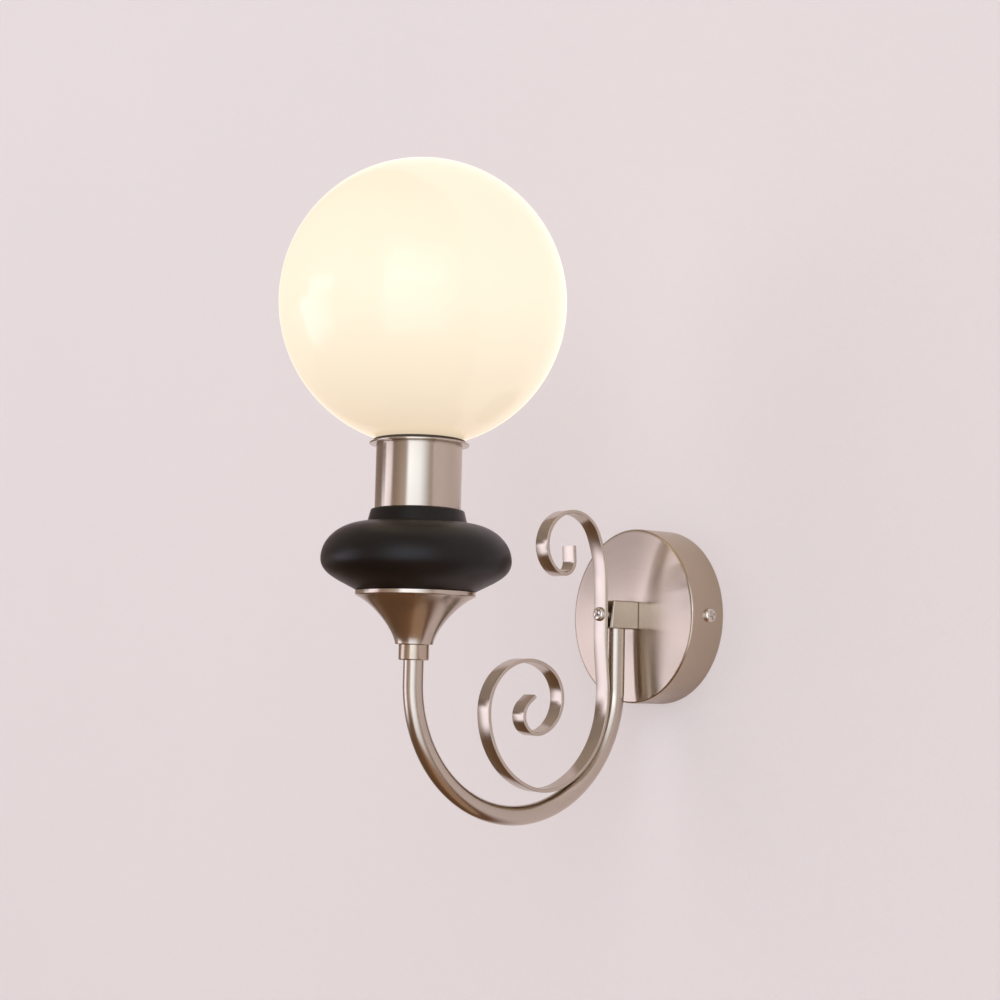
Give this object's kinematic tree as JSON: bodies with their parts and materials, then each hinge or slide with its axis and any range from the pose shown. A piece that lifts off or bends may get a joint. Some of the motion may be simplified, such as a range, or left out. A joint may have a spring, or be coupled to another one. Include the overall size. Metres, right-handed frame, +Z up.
{
  "type": "globe wall sconce",
  "caption": "Wall light with an opal globe on a turned black body, a bent nickel tube arm with two scrolls and a round wall canopy.",
  "frame": {"origin": "centre of the canopy's back, on the wall", "axes": "+Y into the wall, the lamp stands out towards -Y, +Z up, +X to the right seen from the room"},
  "size_m": [0.152, 0.252, 0.3511],
  "materials": {
    "nickel": "satin brushed nickel plate",
    "bright_steel": "bright nickel plate",
    "zinc_steel": "zinc plated steel",
    "brass": "plain brass",
    "black_wood": "satin black lacquer on turned wood",
    "black_plastic": "moulded, matt",
    "white_plastic": "moulded, matt",
    "silicone": "soft ring, matt",
    "opal_glass": "gloss opal, lit warm from inside",
    "opal_plastic": "frosted opal"
  },
  "bodies": {
    "fixture": {"arm_block": "nickel", "arm_tube": "nickel", "canopy_cover": "nickel", "canopy_screw_left": "bright_steel", "canopy_screw_right": "bright_steel", "centre_contact": "brass", "cup": "nickel", "earth_screw": "brass", "earth_washer": "brass", "gallery_plate": "nickel", "globe_gasket": "silicone", "hollow_stud": "zinc_steel", "lampholder_body": "black_plastic", "rod_nut": "zinc_steel", "rod_washer": "zinc_steel", "scroll_strap": "nickel", "shade_ring": "black_plastic", "socket_cover": "nickel", "strap_screw": "bright_steel", "stud_nut": "zinc_steel", "stud_washer": "zinc_steel", "terminal_block": "white_plastic", "terminal_fixing_screw": "bright_steel", "terminal_insert_left": "brass", "terminal_insert_right": "brass", "thread_shell": "brass", "threaded_rod": "zinc_steel", "tube_ferrule": "nickel", "wall_bracket": "zinc_steel", "wood_body": "black_wood"},
    "globe": {"globe": "opal_glass"},
    "bulb": {"bulb_contact": "brass", "bulb_insulator": "black_plastic", "bulb_cap": "bright_steel", "bulb_housing": "white_plastic", "bulb_diffuser": "opal_plastic"}
  },
  "joints": [
    {"name": "globe_lift", "type": "slide", "parent": "fixture", "child": "globe", "axis": [0, 0, 1], "range_m": [0, 0.09]},
    {"name": "bulb_draw", "type": "slide", "parent": "fixture", "child": "bulb", "axis": [0, 0, 1], "range_m": [0, 0.03]}
  ]
}
